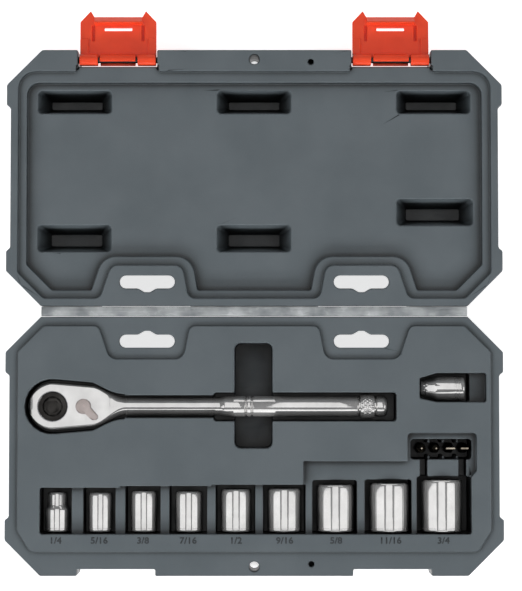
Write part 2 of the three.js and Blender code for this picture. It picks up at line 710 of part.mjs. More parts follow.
// The ridge across the free end hooks under a ledge on the base.
function latchHook() {
  const profile = outlineOf([
    [HOOK.from, PLATE.inner - 1],
    [HOOK.to, PLATE.inner - 1],
    [HOOK.to, PLATE.inner + 0.6],
    [HOOK.from + 1, HOOK.inward],
    [HOOK.from, HOOK.inward],
  ]);
  const options = { depth: 2 * HOOK.half, bevelEnabled: false };
  const geometry = new THREE.ExtrudeGeometry(profile, options).translate(0, 0, -HOOK.half);
  return solidOf(geometry.rotateZ(Math.PI / 2).rotateY(Math.PI / 2));
}

function latch() {
  const half = LATCH_WIDTH / 2;
  const middle = 11.4;             // half width of the middle clip
  const slit = { u: 20.6, half: 9, width: 2 };
  const root = cut(
    block(-half, half, 0, 4, PLATE.outer, PLATE.inner),
    rodX(PIVOT.radius + GAP, -half - 1, half + 1, 16),
  );
  const rims = [-1, 1].map((sign) => {
    const x = sign * (half - 2.6);
    return block(x - 2.6, x + 2.6, 3, 14.4, PLATE.inner - 1, PLATE.inner + 0.9);
  });
  const grooves = [-1, 1].map((sign) =>
    block(sign * 16 - 0.9, sign * 16 + 0.9, 13, 23.2, PLATE.inner - 1.5, PLATE.inner + 1));
  return cut(
    join(
      latchPlate(),
      root,
      clip(-half, -middle - 1.4),
      clip(-middle, middle),
      clip(middle + 1.4, half),
      ...rims,
      latchHook(),
    ),
    ...grooves,
    block(-middle - 0.7, middle + 0.7, -CLIP_RADIUS - 1, -1.2, 0, CLIP_RADIUS + 1),
    block(-slit.half, slit.half, slit.u - slit.width / 2, slit.u + slit.width / 2, PLATE.outer - 1, 0),
  );
}

for (const [name, sign] of [['latch_left', -1], ['latch_right', 1]]) {
  addNode(lidFrame, name, latch(), 'latchPlastic', [sign * LATCH_X, PIVOT.v, PIVOT.z]);
}

// ---- ratchet ----

function gearShape(grow) {
  const corners = [];
  for (let tooth = 0; tooth < GEAR.teeth; tooth += 1) {
    for (const [radius, share] of [[GEAR.tip, 0], [GEAR.root, 0.5]]) {
      const angle = ((tooth + share) * 2 * Math.PI) / GEAR.teeth;
      corners.push([(radius + grow) * Math.cos(angle), (radius + grow) * Math.sin(angle)]);
    }
  }
  return outlineOf(corners);
}

// The forged head, thinning into the neck.
function headSolid() {
  const options = {
    depth: 2 * HEAD.half - 4,
    bevelEnabled: true,
    bevelThickness: 2,
    bevelSize: 1.5,
    bevelOffset: -1.5,
    bevelSegments: 2,
    curveSegments: 8,
  };
  const geometry = new THREE.ExtrudeGeometry(headOutline(0), options);
  geometry.translate(0, 0, 2 - HEAD.half);
  const place = geometry.attributes.position;
  const neckHalf = SHANK_RADIUS - 1;
  for (let i = 0; i < place.count; i += 1) {
    const along = (place.getX(i) - HEAD.flatEnd) / (HEAD.neckX - HEAD.flatEnd);
    const thin = 1 - THREE.MathUtils.clamp(along, 0, 1) * (1 - neckHalf / HEAD.half);
    place.setZ(i, place.getZ(i) * thin);
  }
  return solidOf(geometry);
}

function handleSolid() {
  const { start, radius, ringStart, ringEnd, ringRadius, end } = GRIP;
  const groove = radius - 0.9;
  return turnedX([
    [0, HEAD.neckX - 8],
    [SHANK_RADIUS - 1.4, HEAD.neckX - 8],
    [SHANK_RADIUS, HEAD.neckX - 2],
    [SHANK_RADIUS, start - 3],
    [radius, start],
    [radius, start + 13],
    [groove, start + 13.9],
    [radius, start + 14.8],
    [radius, ringStart - 1.6],
    [groove, ringStart - 0.8],
    [ringRadius, ringStart],
    [ringRadius, ringEnd],
    [groove, ringEnd + 0.7],
    [radius, ringEnd + 1.6],
    [radius, end - 1.8],
    [radius - 1.8, end],
    [0, end],
  ]);
}

function ratchetBody() {
  const top = HEAD.half + 1;
  const shelf = GEAR.half + GAP;
  const inside = 7;                // within the gear's own bore
  return cut(
    join(headSolid(), handleSolid()),
    rodZ(GEAR.tip + 0.4, -shelf, top, 24),
    rodZ(GEAR.journal + GAP, -top, -shelf + 1, 24),
    rodZ(RING.outer + 0.2, RING.low - 0.25, RING.high + 0.25, 24),
    block(inside, PAWL_ROOM.x, -PAWL_ROOM.half, PAWL_ROOM.half, -shelf, shelf),
    block(inside, LEVER.x, -PAWL.backRadius, PAWL.backRadius, -shelf, shelf),
    rodZ(LEVER.shaft + GAP, -shelf, top, 20).translate([LEVER.x, 0, 0]),
  );
}

function driveGear() {
  const { hub, journal, half, bore } = GEAR;
  const head = HEAD.half;
  const square = new THREE.ExtrudeGeometry(squareShape(SQUARE_DRIVE.size), {
    depth: -SQUARE_DRIVE.end - head - 0.8,
    bevelEnabled: true,
    bevelThickness: 0.8,
    bevelSize: 0.8,
    bevelOffset: -0.8,
    bevelSegments: 1,
  }).translate(0, 0, SQUARE_DRIVE.end + 0.8);
  return cut(
    join(
      prism(gearShape(0), -half, half),
      rodZ(hub, half - 1, head - 0.5, 24),
      rodZ(journal, -head - GAP, -half + 1, 24),
      solidOf(square),
    ),
    rodZ(BUTTON.recess, BUTTON.floor, head + 1, 24),
    rodZ(bore, SQUARE_DRIVE.end + 1.6, BUTTON.floor + 1, 16),
    rodX(DRIVE_BALL.radius + GAP, -SQUARE_DRIVE.size, 0, 16).translate([0, 0, DRIVE_BALL.z]),
  );
}

function quickReleaseButton() {
  const { radius, under, top, pin, neck, travel } = BUTTON;
  const ramp = DRIVE_BALL.z;
  return turnedZ([
    [0, SQUARE_DRIVE.end + 1.6 + travel + GAP],
    [pin, SQUARE_DRIVE.end + 1.6 + travel + GAP],
    [pin, ramp],
    [neck, ramp + travel],
    [neck, ramp + travel + 2.5],
    [pin, ramp + travel + 3.4],
    [pin, under],
    [radius, under],
    [radius, top - 0.5],
    [radius - 0.5, top],
    [0, top],
  ]);
}

// The pawl rocks so that one end or the other meshes with the gear.
function pawl() {
  const aboutPivot = (solid, degrees) => solid
    .translate([-PAWL.pivotX, 0, 0])
    .rotate([0, 0, degrees])
    .translate([PAWL.pivotX, 0, 0]);
  const room = prism(gearShape(PAWL.clearance), -GEAR.half - 1, GEAR.half + 1);
  const blank = block(7.2, 15.4, -PAWL.halfWidth, PAWL.halfWidth, -GEAR.half, GEAR.half);
  const neutral = cut(
    blank,
    aboutPivot(room, PAWL.rock),
    aboutPivot(room, -PAWL.rock),
    rodZ(PAWL.backRadius, -GEAR.half - 1, GEAR.half + 1, 24).translate([LEVER.x, 0, 0]),
  );
  return aboutPivot(neutral, PAWL.rock);
}

// Thumb lever and its shaft, pointing along +X; the ball and spring sit in a bore facing -X.
function reversingLever() {
  const deck = HEAD.half + GAP;
  const wing = new THREE.Shape();
  wing.absarc(0, 0, LEVER.boss, 0.6, 2 * Math.PI - 0.6);
  wing.lineTo(LEVER.tip - 1.6, -2.1);
  wing.absarc(LEVER.tip - 1.9, 0, 2.1, -Math.PI / 2, Math.PI / 2);
  return cut(
    join(
      rodZ(LEVER.shaft, -GEAR.half, deck + 1, 20),
      prism(wing, deck, deck + 2.4, 6),
    ),
    rodX(LEVER_BALL.radius + 0.15, -LEVER.shaft - 1, 1, 12),
  );
}

addNode(ratchetFrame, 'ratchet_body', ratchetBody(), 'chrome');
addNode(ratchetFrame, 'drive_gear', driveGear(), 'darkSteel');

const ring = cut(
  rodZ(RING.outer, RING.low, RING.high, 24),
  rodZ(RING.inner, RING.low - 1, RING.high + 1, 24),
);
addNode(ratchetFrame, 'retaining_ring', ring, 'springSteel');
addNode(ratchetFrame, 'quick_release_button', quickReleaseButton(), 'darkSteel');

const buttonSpring = coil(4.4, 0.4, BUTTON.floor + 0.2, BUTTON.under - 0.2, 3);
addNode(ratchetFrame, 'button_spring', buttonSpring, 'springSteel');

const ballOut = SQUARE_DRIVE.size / 2 + DRIVE_BALL.proud - DRIVE_BALL.radius;
const ballPlace = [-ballOut, 0, DRIVE_BALL.z];
addNode(ratchetFrame, 'drive_detent_ball', ball(DRIVE_BALL.radius), 'springSteel', ballPlace);
addNode(ratchetFrame, 'pawl', pawl(), 'springSteel');

const leverFrame = new THREE.Group();
leverFrame.position.set(LEVER.x, 0, 0);
leverFrame.rotation.z = THREE.MathUtils.degToRad(LEVER.rest);
ratchetFrame.add(leverFrame);
addNode(leverFrame, 'reversing_lever', reversingLever(), 'chrome');
addNode(leverFrame, 'lever_detent_ball', ball(LEVER_BALL.radius), 'springSteel', [-LEVER_BALL.out, 0, 0]);

const leverSpring = coil(0.85, 0.2, 0.3, LEVER_BALL.out - LEVER_BALL.radius + 0.6, 4, 6)
  .rotate([0, -90, 0])
  .translate([0.8, 0, 0]);
addNode(leverFrame, 'lever_detent_spring', leverSpring, 'springSteel');

// ---- sockets ----

function socketSolid(socket) {
  const { radius, length, flats } = socket;
  const hexStart = SQUARE_DEPTH + WEB;
  const smallest = socket === SOCKETS[0];
  const endRadius = smallest ? SMALLEST_HEX_END.radius : radius;
  const stepped = [[radius, SMALLEST_HEX_END.step], [endRadius, SMALLEST_HEX_END.step + 1.8]];
  const outside = turnedY([
    [0, 0],
    [radius - 0.8, 0],
    [radius, 0.8],
    ...(smallest ? stepped : []),
    [endRadius, length - 1],
    [endRadius - 1, length],
    [0, length],
  ]);
  const along = (shape, low, high) => {
    const options = { depth: high - low, bevelEnabled: false };
    const geometry = new THREE.ExtrudeGeometry(shape, options).translate(0, 0, low);
    return solidOf(geometry.rotateX(-Math.PI / 2));
  };
  const through = Math.min(flats, SQUARE_HOLE) / 2 - 0.5;
  return cut(
    outside,
    along(squareShape(SQUARE_HOLE), -1, SQUARE_DEPTH),
    along(hexShape(flats + 0.1), hexStart, length + 1),
    rodY(through, SQUARE_DEPTH - 1, hexStart + 1, 12),
  );
}

for (const socket of SOCKETS) {
  const place = [socket.x, -SOCKET_FRONT, socketAxis(socket)];
  addNode(baseFrame, socket.name, socketSolid(socket), 'chrome', place);
}

// ---- bit holder and bits ----

function bitHolder() {
  const { length, radius, small, taper } = HOLDER;
  const hexDepth = 12;
  const squareStart = 17.3;
  const through = 3.1;
  const outside = turnedX([
    [0, 0],
    [small - 0.6, 0],
    [small, 0.6],
    [small + 0.5, taper - 4],
    [radius, taper],
    [radius, length - 0.8],
    [radius - 0.8, length],
    [0, length],
  ]);
  const along = (shape, low, high) => {
    const options = { depth: high - low, bevelEnabled: false };
    const geometry = new THREE.ExtrudeGeometry(shape, options).translate(0, 0, low);
    return solidOf(geometry.rotateY(Math.PI / 2));
  };
  return cut(
    outside,
    along(hexShape(BIT.flats + 0.1), -1, hexDepth),
    along(squareShape(SQUARE_HOLE), squareStart, length + 1),
    rodX(through, hexDepth - 1, squareStart + 1, 12),
  );
}

function bitSolid(bit) {
  const { flats, length, hexLength, neck } = BIT;
  const body = join(
    prism(hexShape(flats), 0, hexLength),
    rodZ(neck, hexLength - 1, length - 7, 12),
  );
  if (bit.tip === 'blade') {
    const half = bit.size / 2;
    return join(body, block(-half, half, -0.6, 0.6, length - 9, length));
  }
  const point = turnedZ([
    [0, length - 8],
    [bit.size, length - 8],
    [bit.size, length - 5],
    [0.7, length],
    [0, length],
  ], 12);
  const flutes = [[1, 1], [1, -1], [-1, 1], [-1, -1]].map(([x, y]) => {
    const [near, far] = [0.75, 5];
    const across = [x * near, x * far].sort((a, b) => a - b);
    const along = [y * near, y * far].sort((a, b) => a - b);
    return block(...across, ...along, length - 5, length + 1);
  });
  return join(body, cut(point, ...flutes));
}

const holderPlace = [HOLDER.x, -HOLDER.v, HOLDER.z];
addNode(baseFrame, 'bit_holder', bitHolder(), 'chrome', holderPlace);
addNode(baseFrame, 'bit_holder_magnet', rodX(2.8, 12.3, 14.8, 12), 'magnet', holderPlace);
for (const bit of BITS) {
  addNode(baseFrame, bit.name, bitSolid(bit), 'darkSteel', [bit.x, -BIT.v, BIT.z]);
}

export default group;
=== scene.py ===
"""Looks for the socket wrench set in its case. Metres, in the row frame."""

import json
import math

import bmesh
import bpy
from mathutils import Matrix, Vector, noise
from mathutils.bvhtree import BVHTree

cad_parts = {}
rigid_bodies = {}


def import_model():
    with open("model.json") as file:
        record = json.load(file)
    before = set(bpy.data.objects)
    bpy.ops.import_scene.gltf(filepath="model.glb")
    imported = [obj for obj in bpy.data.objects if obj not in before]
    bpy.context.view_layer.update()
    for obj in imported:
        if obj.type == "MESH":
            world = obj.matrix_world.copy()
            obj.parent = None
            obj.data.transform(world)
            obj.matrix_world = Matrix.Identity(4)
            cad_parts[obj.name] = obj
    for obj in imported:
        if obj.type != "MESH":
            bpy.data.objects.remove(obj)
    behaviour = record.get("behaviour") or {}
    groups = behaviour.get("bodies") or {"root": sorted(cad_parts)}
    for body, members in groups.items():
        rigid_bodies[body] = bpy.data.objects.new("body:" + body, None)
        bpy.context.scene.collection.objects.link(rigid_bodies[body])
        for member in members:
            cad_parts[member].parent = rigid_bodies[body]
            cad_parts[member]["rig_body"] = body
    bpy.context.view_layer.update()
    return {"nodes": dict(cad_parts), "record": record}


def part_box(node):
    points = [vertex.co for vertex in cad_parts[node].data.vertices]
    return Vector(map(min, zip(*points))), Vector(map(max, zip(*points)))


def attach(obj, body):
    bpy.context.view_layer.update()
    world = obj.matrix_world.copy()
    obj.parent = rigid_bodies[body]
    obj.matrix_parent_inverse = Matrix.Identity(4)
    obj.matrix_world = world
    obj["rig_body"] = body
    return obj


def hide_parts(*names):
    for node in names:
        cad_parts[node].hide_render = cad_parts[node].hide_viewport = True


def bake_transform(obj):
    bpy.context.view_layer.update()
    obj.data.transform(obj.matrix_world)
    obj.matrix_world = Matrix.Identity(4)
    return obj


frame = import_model()
nodes = frame["nodes"]
scene = bpy.context.scene
MM = 0.001
TAU = 2 * math.pi


# ---- materials ----

class Finish:
    """A procedural material: a Principled shader and the nodes that feed it."""

    HOLLOW_SAMPLES = 6
    # Two layers of painted shade in the hollows, wide and narrow: how far each looks for walls in
    # metres, its darkest level, and how open the surface is where the shade starts and ends.
    PAINTED_HOLLOW_SHADE = ((0.014, 0.04, 0.46, 1.0), (0.0035, 0.08, 0.5, 0.96))

    def __init__(self, name):
        self.material = bpy.data.materials.new(name)
        self.material.use_nodes = True
        self.tree = self.material.node_tree
        self.shader = self.tree.nodes["Principled BSDF"]
        self.place = self.tree.nodes.new("ShaderNodeTexCoord").outputs["Object"]

    def set(self, **values):
        for name, value in values.items():
            self.shader.inputs[name.replace("_", " ")].default_value = value
        return self

    def noise(self, scale, detail=2.0, stretch=None):
        """A noise pattern with scale features per metre, drawn out along an axis by stretch."""
        place = self.place
        if stretch:
            mapping = self.tree.nodes.new("ShaderNodeMapping")
            mapping.inputs["Scale"].default_value = stretch
            self.tree.links.new(place, mapping.inputs["Vector"])
            place = mapping.outputs["Vector"]
        node = self.tree.nodes.new("ShaderNodeTexNoise")
        node.inputs["Scale"].default_value = scale
        node.inputs["Detail"].default_value = detail
        self.tree.links.new(place, node.inputs["Vector"])
        return node.outputs["Fac"]

    def ramp(self, source, low, high, start=0.35, end=0.65):
        """Colours or grey levels from low to high over the source's range from start to end."""
        node = self.tree.nodes.new("ShaderNodeValToRGB")
        node.color_ramp.elements[0].position = start
        node.color_ramp.elements[1].position = end
        node.color_ramp.elements[0].color = self.colour(low)
        node.color_ramp.elements[1].color = self.colour(high)
        self.tree.links.new(source, node.inputs["Fac"])
        return node.outputs["Color"]

    @staticmethod
    def colour(value):
        return (*value, 1) if isinstance(value, tuple) else (value, value, value, 1)

    def feed(self, source, socket):
        self.tree.links.new(source, self.shader.inputs[socket])
        return self

    def paint_hollow_shade(self, colour):
        """Paint shade into the colour where the surface is shut in: hollows, creases and the feet
        of walls turn darker.
        """
        for reach, darkest, start, end in self.PAINTED_HOLLOW_SHADE:
            hollow = self.tree.nodes.new("ShaderNodeAmbientOcclusion")
            hollow.samples = self.HOLLOW_SAMPLES
            hollow.inputs["Distance"].default_value = reach
            shade = self.tree.nodes.new("ShaderNodeMix")
            shade.data_type = "RGBA"
            shade.blend_type = "MULTIPLY"
            shade.inputs["Factor"].default_value = 1
            self.tree.links.new(colour, shade.inputs["A"])
            level = self.ramp(hollow.outputs["AO"], darkest, 1.0, start, end)
            self.tree.links.new(level, shade.inputs["B"])
            colour = shade.outputs["Result"]
        self.feed(colour, "Base Color")

    def bump(self, *layers):
        """Layers of (source, height in metres), from the coarsest to the finest."""
        normal = None
        for source, height in layers:
            node = self.tree.nodes.new("ShaderNodeBump")
            node.inputs["Strength"].default_value = 1
            node.inputs["Distance"].default_value = height
            self.tree.links.new(source, node.inputs["Height"])
            if normal:
                self.tree.links.new(normal, node.inputs["Normal"])
            normal = node.outputs["Normal"]
        self.tree.links.new(normal, self.shader.inputs["Normal"])
        return self


def case_plastic(name, dark, light):
    """Satin blow-moulded polyethylene: fine grain, slow waviness and painted shade in the hollows.
    """
    finish = Finish(name).set(Specular_IOR_Level=0.5)
    # painted shade: ambient occlusion darkens the base colour in hollows, creases and at the feet
    # of walls
    finish.paint_hollow_shade(finish.ramp(finish.noise(28, 4), dark, light))
    finish.feed(finish.ramp(finish.noise(90, 6), 0.3, 0.42), "Roughness")
    return finish.bump(
        (finish.noise(26, 1), 0.0008),
        (finish.noise(1500, 3), 0.00006),
    ).material


def hinge_plastic():
    """Thin, stretched and shiny, with a surface that wanders along the fold, and painted highlight:
    a base colour lighter than the case in uneven patches.
    """
    finish = Finish("hinge_film").set(Specular_IOR_Level=0.7)
    # painted highlight: the same plastic as the case, given a lighter, patchy base colour for the
    # glossy band along the fold
    tint = finish.ramp(finish.noise(60, 3), (0.22, 0.24, 0.25), (0.5, 0.52, 0.53))
    finish.feed(tint, "Base Color")
    finish.feed(finish.ramp(finish.noise(120, 3), 0.12, 0.3), "Roughness")
    return finish.bump(
        (finish.noise(160, 2, (0.5, 1, 1)), 0.0012),
        (finish.noise(900, 3), 0.0001),
    ).material


def latch_plastic():
    """Orange satin plastic with a fine even grain."""
    finish = Finish("latch_satin").set(Specular_IOR_Level=0.5)
    tint = finish.ramp(finish.noise(60, 4), (0.88, 0.055, 0.01), (0.97, 0.07, 0.014))
    finish.feed(tint, "Base Color")
    finish.feed(finish.ramp(finish.noise(220, 4), 0.3, 0.44), "Roughness")
    return finish.bump(
        (finish.noise(90, 2), 0.0002),
        (finish.noise(2400, 2), 0.00002),
    ).material


def plated(name, low, high, smooth, rough, scratch=0.000004, stretch=(1, 1, 1), metallic=1.0):
    """Metal with faint polishing lines and cloudy patches.

    Its colour runs from low to high and its roughness from smooth to rough. The polishing
    lines are scratch metres deep.
    """
    finish = Finish(name).set(Metallic=metallic)
    finish.feed(finish.ramp(finish.noise(70, 4), low, high), "Base Color")
    finish.feed(finish.ramp(finish.noise(240, 5), smooth, rough), "Roughness")
    return finish.bump(
        (finish.noise(60, 1), 0.00006),
        (finish.noise(900, 3, stretch), scratch),
    ).material


CASE_DARK = (0.098, 0.118, 0.13)
CASE_LIGHT = (0.114, 0.135, 0.148)
CHROME_LOW = (0.76, 0.75, 0.74)
CHROME_HIGH = (0.88, 0.87, 0.86)
MATERIALS = {
    "case_plastic": case_plastic("case_satin", CASE_DARK, CASE_LIGHT),
    "latch_plastic": latch_plastic(),
    "chrome": plated(
        "chrome_plate", CHROME_LOW, CHROME_HIGH, 0.05, 0.09, stretch=(1, 0.15, 1), metallic=0.74),
    "dark_steel": plated(
        "black_oxide", (0.03, 0.028, 0.027), (0.07, 0.066, 0.062), 0.28, 0.42, 0.00001),
    "spring_steel": plated("bright_steel", (0.3, 0.3, 0.31), (0.42, 0.42, 0.43), 0.2, 0.32),
    "magnet": plated("nickel_plate", (0.34, 0.33, 0.31), (0.46, 0.45, 0.42), 0.16, 0.26),
}
HINGE_FILM = hinge_plastic()
LEVER_METAL = plated("lever_satin", (0.5, 0.43, 0.41), (0.66, 0.58, 0.56), 0.26, 0.4, 0.00002)
BIT_TIP = plated("bit_tip", (0.36, 0.31, 0.24), (0.7, 0.63, 0.52), 0.2, 0.36, 0.00001)
LABEL_INK = case_plastic("label_shade", (0.034, 0.04, 0.044), (0.046, 0.053, 0.058))

for part in frame["record"]["subparts"]:
    mesh = nodes[part["node"]].data
    mesh.materials.clear()
    mesh.materials.append(MATERIALS[part["material_slot"]])


# ---- building pieces ----

CREASE = 32.0                     # degrees past which two faces meet in a sharp edge


def new_object(name, bm, material, smooth=True):
    """An object in the scene with the mesh that bm holds. It uses bm up."""
    mesh = bpy.data.meshes.new(name)
    bm.to_mesh(mesh)
    bm.free()
    mesh.polygons.foreach_set("use_smooth", [smooth] * len(mesh.polygons))
    mesh.materials.append(material)
    piece = bpy.data.objects.new(name, mesh)
    scene.collection.objects.link(piece)
    return piece


def add_piece(name, bm, material, node=None, body=None, crease=CREASE):
    """Put a mesh in the scene, riding on a body. It stands for the node if one is named."""
    if crease:
        bmesh.ops.recalc_face_normals(bm, faces=bm.faces)
    piece = new_object(name, bm, material)
    if crease:
        piece.data.set_sharp_from_angle(angle=math.radians(crease))
    if node:
        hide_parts(node)
    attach(piece, body or nodes[node]["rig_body"])
    return piece


def slot_of(node):
    return next(p["material_slot"] for p in frame["record"]["subparts"] if p["node"] == node)


COINCIDENT = 0.000002             # corners this close are one corner
SHORTEST = 0.0001                 # edges below this are closed up before the edges are rounded
FLAT = math.radians(0.6)          # faces that meet at less than this are one face
EDGE_ANGLE = 28.0                 # degrees past which an edge of the case is rounded
SAME_FACE = math.cos(math.radians(EDGE_ANGLE))
SAME_SIDE = 0.3                   # least cosine from a rounded strip to a flat face it follows
FOLDED = 0.2                      # least cosine from a sound face to the original surface
STRIP = 0.0115                    # width of the strips that wide faces are cut into
STRIP_CLEAR = 0.0015              # least room between a cut and an edge alongside it
STRIP_SHIFT = 0.0007              # how far a cut moves at a time to find that room
ALONGSIDE = 0.00002               # an edge that strays less than this lies alongside the cuts
CUT_SNAP = 0.000001               # corners this close to a cut lie on it
MITRE_SPREAD = 0.0003
LEAST_AREA = 1e-12                # keeps a face of no area from counting for nothing


def drop_folded(bm, original):
    """Take out slivers that the rounding has folded over, by how the original surface faces."""
    bm.normal_update()
    folded = []
    for face in bm.faces:
        facing = original.find_nearest(face.calc_center_median())[1]
        if face.normal.dot(facing) < FOLDED:
            folded.append(face)
    bmesh.ops.delete(bm, geom=folded, context="FACES_ONLY")


def sharp_edges(bm, angle):
    """Edges whose two faces turn by more than angle, in degrees."""
    limit = math.radians(angle)
    return [e for e in bm.edges if len(e.link_faces) == 2 and e.calc_face_angle(0) > limit]


def slice_up(bm, axis, sharp):
    """Cut wide faces into strips, keeping the cuts away from edges that run alongside them."""
    beside = {
        round(e.verts[0].co[axis], 5) for e in sharp
        if abs(e.verts[0].co[axis] - e.verts[1].co[axis]) < ALONGSIDE}
    places = [v.co[axis] for v in bm.verts]
    low, high = min(places), max(places)
    normal = Vector([float(i == axis) for i in range(3)])
    for k in range(1, int((high - low) / STRIP) + 1):
        tries = [low + k * STRIP + shift * STRIP_SHIFT for shift in (0, 1, -1, 2, -2, 3, -3, 4, -4)]
        place = next((t for t in tries if all(abs(t - b) > STRIP_CLEAR for b in beside)), None)
        if place is not None:
            geometry = bm.verts[:] + bm.edges[:] + bm.faces[:]
            bmesh.ops.bisect_plane(
                bm, geom=geometry, dist=CUT_SNAP, plane_co=normal * place, plane_no=normal)


def corner_normals(bm, original):
    """Flat faces are shaded flat, and the rounded strips between them turn from one to the next."""
    bm.faces.index_update()
    area, facing = {}, {}
    for face in bm.faces:
        area[face] = face.calc_area() + LEAST_AREA
        facing[face] = face.normal
        if not face.smooth:
            facing[face] = original.find_nearest(face.calc_center_median())[1]
    normals = []
    for face in bm.faces:
        own = facing[face]
        for vert in face.verts:
            flats = [f for f in vert.link_faces if not f.smooth]
            limit = SAME_SIDE if face.smooth else SAME_FACE
            near = [f for f in flats if facing[f].dot(own) > limit]
            if not near:
                near = [f for f in vert.link_faces if f.smooth] if face.smooth else [face]
            total = sum((facing[f] * area[f] for f in near), Vector())
            normals.append(total.normalized() if total.length > 0 else own)
    return normals


def rounded_copy(node, width, segments=3, angle=EDGE_ANGLE, wide=False):
    """The node's own shape with its sharp edges rounded off by width.

    Wide faces are sliced up first, so that none has many corners.
    """
    bm = bmesh.new()
    bm.from_mesh(nodes[node].data)
    bmesh.ops.remove_doubles(bm, verts=bm.verts, dist=COINCIDENT)
    bmesh.ops.dissolve_limit(bm, angle_limit=FLAT, verts=bm.verts, edges=bm.edges)
    bmesh.ops.remove_doubles(bm, verts=bm.verts, dist=SHORTEST)
    for axis in (0, 1) if wide else ():
        slice_up(bm, axis, sharp_edges(bm, angle))
    original = BVHTree.FromBMesh(bm)
    sharp = sharp_edges(bm, angle)
    for face in bm.faces:
        face.smooth = False
    strips = bmesh.ops.bevel(
        bm, geom=sharp, offset=width, offset_type="OFFSET", segments=segments, profile=0.5,
        affect="EDGES", clamp_overlap=False, miter_outer="ARC", spread=MITRE_SPREAD)["faces"]
    for face in strips:
        face.smooth = True
    bmesh.ops.triangulate(bm, faces=[f for f in bm.faces if len(f.verts) > 4])
    drop_folded(bm, original)
    normals = corner_normals(bm, original)
    piece = add_piece(node + "_look", bm, MATERIALS[slot_of(node)], node, crease=0)
    piece.data.normals_split_custom_set(normals)
    return piece


def loft(bm, sections, closed=False):
    """Join sections of equal length into a skin.

    An open skin is capped at both ends. A closed one runs back to its first section.
    """
    rings = [[bm.verts.new(point) for point in section] for section in sections]
    count = len(rings[0])
    pairs = list(zip(rings, rings[1:]))
    if closed:
        pairs.append((rings[-1], rings[0]))
    for near, far in pairs:
        for i in range(count):
            j = (i + 1) % count
            bm.faces.new((near[i], near[j], far[j], far[i]))
    if not closed:
        bm.faces.new(rings[0])
        bm.faces.new(rings[-1])
    return bm


def round_at(radius):
    """A circle's outline as a radius for each angle."""
    return lambda angle: radius


def polygon_at(flats, sides, turn=0.0, corner=0.0):
    """A regular polygon's outline as a radius for each angle, its corners cut back by corner."""
    reach = flats / 2 / math.cos(math.pi / sides) - corner

    def radius(angle):
        step = TAU / sides
        away = (angle - turn) % step - step / 2
        return min(flats / 2 / math.cos(away), reach)

    return radius


def bore_sections(steps, origin, along, across, up, count=96):
    """Points round an axis: steps are (place along the axis in mm, radius for each angle in mm)."""
    sections = []
    for place, radius in steps:
        section = []
        for i in range(count):
            angle = TAU * i / count
            out = across * math.cos(angle) + up * math.sin(angle)
            section.append(origin + (along * place + out * radius(angle)) * MM)
        sections.append(section)
    return sections


X, Y, Z = Vector((1, 0, 0)), Vector((0, 1, 0)), Vector((0, 0, 1))


# ---- the case ----

for name, width, segments in (
    ("base_tray", 0.0008, 3), ("lid_panel", 0.0009, 3),
    ("base_shell", 0.0006, 2), ("lid_shell", 0.0006, 2),
):
    rounded_copy(name, width, segments, wide=True)
for name in ("latch_left", "latch_right"):
    rounded_copy(name, 0.0004, 2)


FILM_COLUMNS, FILM_ROWS = 360, 16
FILM_CREASE = 0.62                # depth of the creases at both edges of the film, mm
FILM_SUNK = 0.12                  # how far the film lies below the hinge's top at least, mm
FILM_WANDER = 0.22                # height of the ripples, mm
RIPPLES_ALONG, RIPPLES_ACROSS = 140, 300    # per metre
FILM_FOLD, FILM_FOLDS = 0.16, 3   # height of the ridges that run along the film, and their number
FILM_FULLNESS = 0.7               # below 1 the swell is flatter on top than a sine
FILM_BELOW = 0.0002
FILM_UNDER_CREASE = 0.0004        # how far the underside rises at the edges


def hinge_film():
    """The living hinge's strip, lying flat: a shallow swell between two creases, uneven along its
    length.
    """
    low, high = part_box("living_hinge")
    columns, rows = FILM_COLUMNS, FILM_ROWS
    bm = bmesh.new()
    top, bottom = [], []
    for i in range(columns + 1):
        x = low.x + (high.x - low.x) * i / columns
        upper, lower = [], []
        for j in range(rows + 1):
            t = j / rows
            y = low.y + (high.y - low.y) * t
            swell = math.sin(math.pi * t) ** FILM_FULLNESS
            ripple = noise.noise(Vector((x * RIPPLES_ALONG, y * RIPPLES_ACROSS, 0)))
            wander = ripple * FILM_WANDER
            fold = FILM_FOLD * math.sin(t * TAU * FILM_FOLDS)
            uneven = (wander + fold * 0.5) * swell * 0.5
            drop = (FILM_CREASE * (1 - swell) + uneven + FILM_SUNK) * MM
            upper.append(bm.verts.new((x, y, high.z - max(drop, 0.00002))))
            under = low.z - FILM_BELOW + FILM_UNDER_CREASE * (1 - swell)
            lower.append(bm.verts.new((x, y, under)))
        top.append(upper)
        bottom.append(lower)
    for i in range(columns):
        for j in range(rows):
            bm.faces.new((top[i][j], top[i + 1][j], top[i + 1][j + 1], top[i][j + 1]))
            bm.faces.new((bottom[i][j], bottom[i][j + 1], bottom[i + 1][j + 1], bottom[i + 1][j]))
    for i in range(columns):
        for j in (0, rows):
            bm.faces.new((top[i][j], bottom[i][j], bottom[i + 1][j], top[i + 1][j]))
    for i in (0, columns):
        for j in range(rows):
            bm.faces.new((top[i][j], top[i][j + 1], bottom[i][j + 1], bottom[i][j]))
    bmesh.ops.recalc_face_normals(bm, faces=bm.faces)
    film = new_object("hinge_film", bm, HINGE_FILM)
    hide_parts("living_hinge")
    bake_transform(film)


hinge_film()


# ---- sockets ----

SOCKETS = [
    part["node"] for part in frame["record"]["subparts"] if part["node"].startswith("socket_")
]
INCH = 25.4
SQUARE = 9.6                      # drive hole across its flats, mm
SQUARE_DEPTH = 10.5
SQUARE_CORNER = 0.5               # how far the drive hole's corners are cut back
HEX_START = 13.0                  # where the hexagon begins, from the drive end
HEX_PLAY, HEX_CORNER = 0.1, 0.15
REDUCED_RADIUS = 6.15             # hexagon end of the smallest socket
REDUCED_FROM = 14.9
